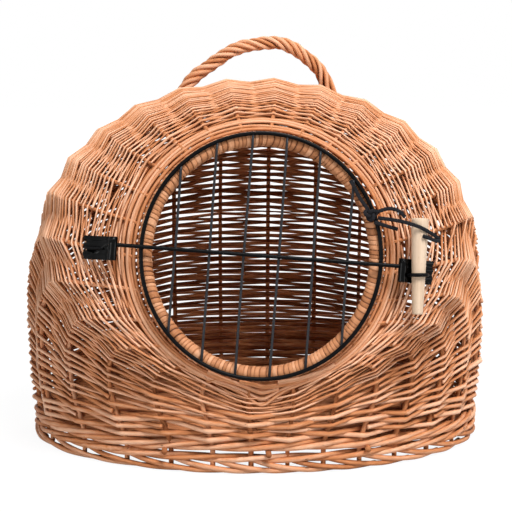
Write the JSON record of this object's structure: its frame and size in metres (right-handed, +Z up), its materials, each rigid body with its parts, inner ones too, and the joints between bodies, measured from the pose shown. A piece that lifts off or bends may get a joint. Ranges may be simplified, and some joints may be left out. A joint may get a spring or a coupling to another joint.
{
  "type": "willow cat basket",
  "caption": "Domed woven willow basket for carrying or bedding a cat, with a round wire door on a leather hinge, a peg latch, a rope handle and an oval foot.",
  "frame": {"origin": "centre of the box round the basket, door, latch and handle, on the surface it stands on", "axes": "+X to the right of someone facing the door and along the basket's length, -Y out of the doorway, +Z up"},
  "size_m": [0.5012, 0.434, 0.4334],
  "materials": {
    "weavers": "peeled buff willow rods, satin",
    "stakes": "peeled buff willow stakes, satin",
    "border_rods": "thicker willow rods, satin",
    "base_weave": "woven willow, satin",
    "rim_wrap": "split willow band, satin",
    "handle_rods": "twisted willow rods, satin",
    "black_wire": "satin black lacquer",
    "strap": "smooth black leathercloth, glossy",
    "peg_wood": "bare beech",
    "lace": "flat woven black lace"
  },
  "bodies": {
    "basket": {"woven_wall": "weavers", "stake_01": "stakes", "stake_02": "stakes", "stake_03": "stakes", "stake_04": "stakes", "stake_05": "stakes", "stake_06": "stakes", "stake_07": "stakes", "stake_08": "stakes", "stake_09": "stakes", "stake_10": "stakes", "stake_11": "stakes", "stake_12": "stakes", "stake_13": "stakes", "stake_14": "stakes", "stake_15": "stakes", "stake_16": "stakes", "stake_17": "stakes", "stake_18": "stakes", "stake_19": "stakes", "stake_20": "stakes", "stake_21": "stakes", "stake_22": "stakes", "stake_23": "stakes", "stake_24": "stakes", "stake_25": "stakes", "stake_26": "stakes", "stake_27": "stakes", "foot_border": "border_rods", "foot_wale": "border_rods", "cross_stick_1": "stakes", "cross_stick_2": "stakes", "cross_stick_3": "stakes", "base_mat": "base_weave", "long_stick_1": "stakes", "long_stick_2": "stakes", "door_rim": "rim_wrap", "handle": "handle_rods", "hinge_strap": "strap", "hinge_tie": "black_wire", "latch_staple": "black_wire"},
    "door": {"door_ring": "black_wire", "door_bar_1": "black_wire", "door_bar_2": "black_wire", "door_bar_3": "black_wire", "door_bar_4": "black_wire", "door_bar_5": "black_wire", "door_bar_6": "black_wire", "door_rod": "black_wire", "latch_strap": "strap", "lace_knot": "lace", "lace_main": "lace", "lace_loop": "lace", "lace_tail": "lace"},
    "peg": {"latch_peg": "peg_wood"}
  },
  "joints": [
    {"name": "door_swing", "type": "hinge", "parent": "basket", "child": "door", "pos_m": [-0.14922, -0.19331, 0.23663], "axis": [-0.0802, -0.1902, -0.9785], "range_deg": [0, 120], "deforming": ["latch_strap"]},
    {"name": "peg_slide", "type": "slide", "parent": "basket", "child": "peg", "axis": [0.0366, 0.1907, 0.981], "range_m": [0, 0.1]}
  ]
}
